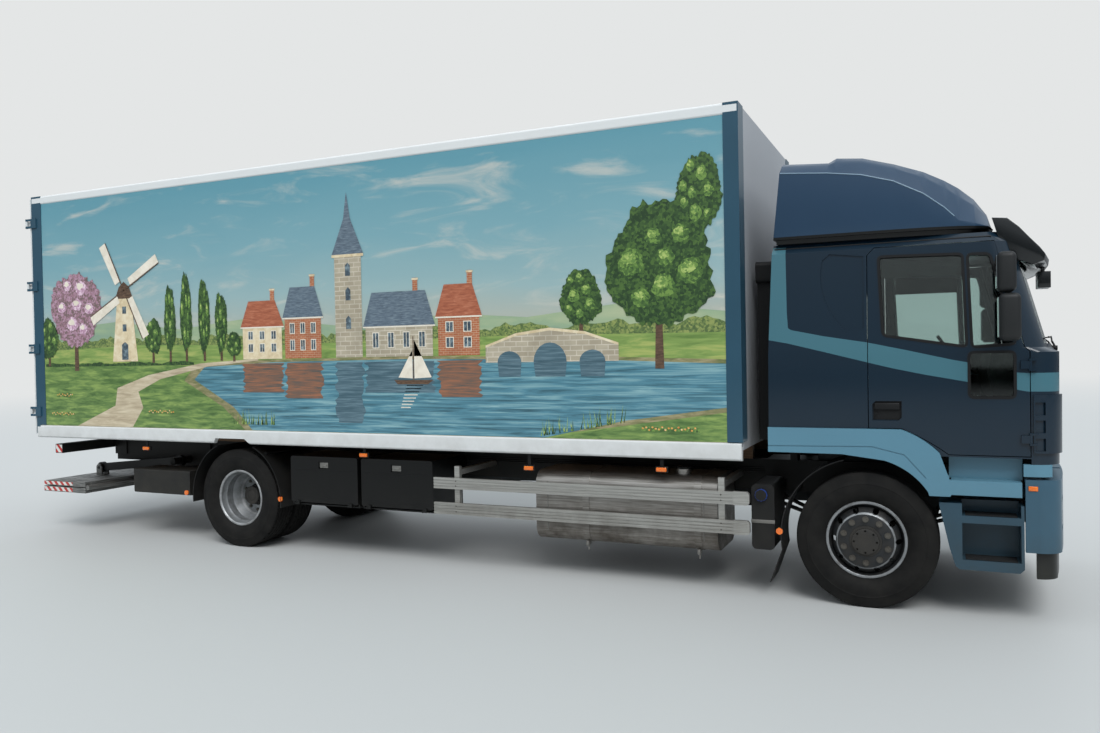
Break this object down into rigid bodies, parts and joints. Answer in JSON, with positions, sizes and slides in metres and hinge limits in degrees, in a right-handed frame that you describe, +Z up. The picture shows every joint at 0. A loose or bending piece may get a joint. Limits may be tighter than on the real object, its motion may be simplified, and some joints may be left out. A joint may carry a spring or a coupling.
{
  "type": "box lorry",
  "caption": "Rigid box lorry with a tilting sleeper cab, roof fairing, side guards, tool boxes, fuel tank, twin rear wheels and a folded tail lift.",
  "frame": {"origin": "on the ground under the middle of the truck's bounding box", "axes": "+X forward, +Y to the truck's left, +Z up"},
  "size_m": [10.8648, 3, 3.985],
  "materials": {
    "chassis": "satin",
    "machinery": "satin",
    "forged": "matt",
    "brushed_tank": "brushed",
    "black_plastic": "matt",
    "guard_alloy": "ribbed",
    "black_paint": "satin",
    "light_blue": "gloss",
    "petrol": "gloss",
    "fairing_blue": "gloss",
    "lamp_lens": "clear",
    "load_floor": "worn",
    "box_paint": "gloss",
    "box_white": "gloss",
    "box_grey": "satin",
    "box_teal": "gloss",
    "galvanised": "satin",
    "platform": "worn",
    "rod_chrome": "polished",
    "seat_cloth": "woven",
    "dash_plastic": "grained",
    "glazing": "tinted",
    "wheel_paint": "satin",
    "tyre_rubber": "matt"
  },
  "bodies": {
    "chassis": {"frame": "chassis", "front_axle": "forged", "rear_axle": "chassis", "suspension": "chassis", "engine": "machinery", "driveline": "machinery", "fuel_tank": "brushed_tank", "additive_tank": "black_plastic", "battery_box": "black_plastic", "side_guards": "guard_alloy", "toolboxes": "black_paint", "mudguards": "black_plastic", "bumper": "light_blue", "steps": "light_blue", "lamps": "lamp_lens", "box_floor": "load_floor", "box_sides": "box_paint", "box_roof": "box_white", "box_bulkhead": "box_grey", "box_rails": "box_white", "box_posts": "box_teal", "underrun_beam": "galvanised", "lift_frame": "chassis"},
    "cab": {"cab_shell": "petrol", "cab_front": "petrol", "cab_arches": "light_blue", "windscreen": "glazing", "visor": "black_plastic", "fairing": "fairing_blue", "seats": "seat_cloth", "dashboard": "dash_plastic", "air_intake": "black_plastic"},
    "cab_door_right": {"door_right": "petrol", "door_glass_right": "glazing", "mirror_right": "black_plastic"},
    "cab_door_left": {"door_left": "petrol", "door_glass_left": "glazing", "mirror_left": "black_plastic"},
    "toolbox_lid_rear": {"toolbox_door_rear": "black_paint"},
    "toolbox_lid_front": {"toolbox_door_front": "black_paint"},
    "tail_door_right": {"rear_door_right": "box_white"},
    "tail_door_left": {"rear_door_left": "box_white"},
    "lift_arm_pair": {"lift_arms": "black_paint"},
    "platform": {"lift_platform": "platform"},
    "cylinder_pair": {"lift_cylinders": "black_paint"},
    "rod_pair": {"lift_rods": "rod_chrome"},
    "steer_right": {"knuckle_right": "forged"},
    "steer_left": {"knuckle_left": "forged"},
    "track_rod": {"tie_rod": "forged"},
    "front_wheel_right": {"front_rim_right": "wheel_paint", "front_tyre_right": "tyre_rubber"},
    "front_wheel_left": {"front_rim_left": "wheel_paint", "front_tyre_left": "tyre_rubber"},
    "rear_wheels_right": {"rear_rims_right": "wheel_paint", "rear_tyres_right": "tyre_rubber"},
    "rear_wheels_left": {"rear_rims_left": "wheel_paint", "rear_tyres_left": "tyre_rubber"}
  },
  "joints": [
    {"name": "cab_tilt", "type": "hinge", "parent": "chassis", "child": "cab", "pos_m": [5.3025, 0, 0.99], "axis": [0, 1, 0], "range_deg": [0, 50]},
    {"name": "cab_door_right_swing", "type": "hinge", "parent": "cab", "child": "cab_door_right", "pos_m": [5.1475, -1.228, 1.595], "axis": [0, 0, 1], "range_deg": [0, 75]},
    {"name": "cab_door_left_swing", "type": "hinge", "parent": "cab", "child": "cab_door_left", "pos_m": [5.1475, 1.228, 1.595], "axis": [0, 0, -1], "range_deg": [0, 75]},
    {"name": "toolbox_lid_rear_drop", "type": "hinge", "parent": "chassis", "child": "toolbox_lid_rear", "pos_m": [-1.121, -1.209, 0.516], "axis": [1, 0, 0], "range_deg": [0, 110]},
    {"name": "toolbox_lid_front_drop", "type": "hinge", "parent": "chassis", "child": "toolbox_lid_front", "pos_m": [-0.245, -1.209, 0.516], "axis": [1, 0, 0], "range_deg": [0, 110]},
    {"name": "tail_door_right_swing", "type": "hinge", "parent": "chassis", "child": "tail_door_right", "pos_m": [-5.4185, -1.283, 2.545], "axis": [0, 0, 1], "range_deg": [0, 270]},
    {"name": "tail_door_left_swing", "type": "hinge", "parent": "chassis", "child": "tail_door_left", "pos_m": [-5.4185, 1.283, 2.545], "axis": [0, 0, -1], "range_deg": [0, 270]},
    {"name": "steering", "type": "hinge", "parent": "chassis", "child": "steer_right", "pos_m": [4.0325, -0.87, 0.522], "axis": [0, 0, 1], "range_deg": [-40, 40]},
    {"name": "steering_left", "type": "hinge", "parent": "chassis", "child": "steer_left", "pos_m": [4.0325, 0.87, 0.522], "axis": [0, 0, 1], "range_deg": [-40, 40]},
    {"name": "track_rod_pivot", "type": "hinge", "parent": "steer_right", "child": "track_rod", "pos_m": [3.8325, -0.87, 0.372], "axis": [0, 0, 1], "range_deg": [-40, 40]},
    {"name": "front_wheel_right_spin", "type": "hinge", "parent": "steer_right", "child": "front_wheel_right", "pos_m": [4.0325, -1.041, 0.522], "axis": [0, 1, 0], "continuous": true},
    {"name": "front_wheel_left_spin", "type": "hinge", "parent": "steer_left", "child": "front_wheel_left", "pos_m": [4.0325, 1.041, 0.522], "axis": [0, 1, 0], "continuous": true},
    {"name": "rear_wheels_right_spin", "type": "hinge", "parent": "chassis", "child": "rear_wheels_right", "pos_m": [-2.2675, -0.894, 0.522], "axis": [0, 1, 0], "continuous": true},
    {"name": "rear_wheels_left_spin", "type": "hinge", "parent": "chassis", "child": "rear_wheels_left", "pos_m": [-2.2675, 0.894, 0.522], "axis": [0, 1, 0], "continuous": true},
    {"name": "lift_arms_lower", "type": "hinge", "parent": "chassis", "child": "lift_arm_pair", "pos_m": [-3.7425, 0, 0.8], "axis": [0, -1, 0], "range_deg": [0, 17.5]},
    {"name": "platform_level", "type": "hinge", "parent": "lift_arm_pair", "child": "platform", "pos_m": [-5.0865, 0, 0.674], "axis": [0, -1, 0], "range_deg": [-17.5, 0]},
    {"name": "cylinder_swing", "type": "hinge", "parent": "chassis", "child": "cylinder_pair", "pos_m": [-3.5425, 0, 0.62], "axis": [0, -1, 0], "range_deg": [0, 14.1]},
    {"name": "rod_stroke", "type": "slide", "parent": "cylinder_pair", "child": "rod_pair", "axis": [-0.9993, 0, 0.0368], "range_m": [-0.061, 0]}
  ],
  "couplings": [
    {"joint": "steering_left", "follows": "steering", "ratio": 1},
    {"joint": "track_rod_pivot", "follows": "steering", "ratio": -1},
    {"joint": "platform_level", "follows": "lift_arms_lower", "ratio": -1},
    {"joint": "cylinder_swing", "follows": "lift_arms_lower", "ratio": 0.80102},
    {"joint": "rod_stroke", "follows": "lift_arms_lower", "m_per_rad": -0.19575}
  ]
}
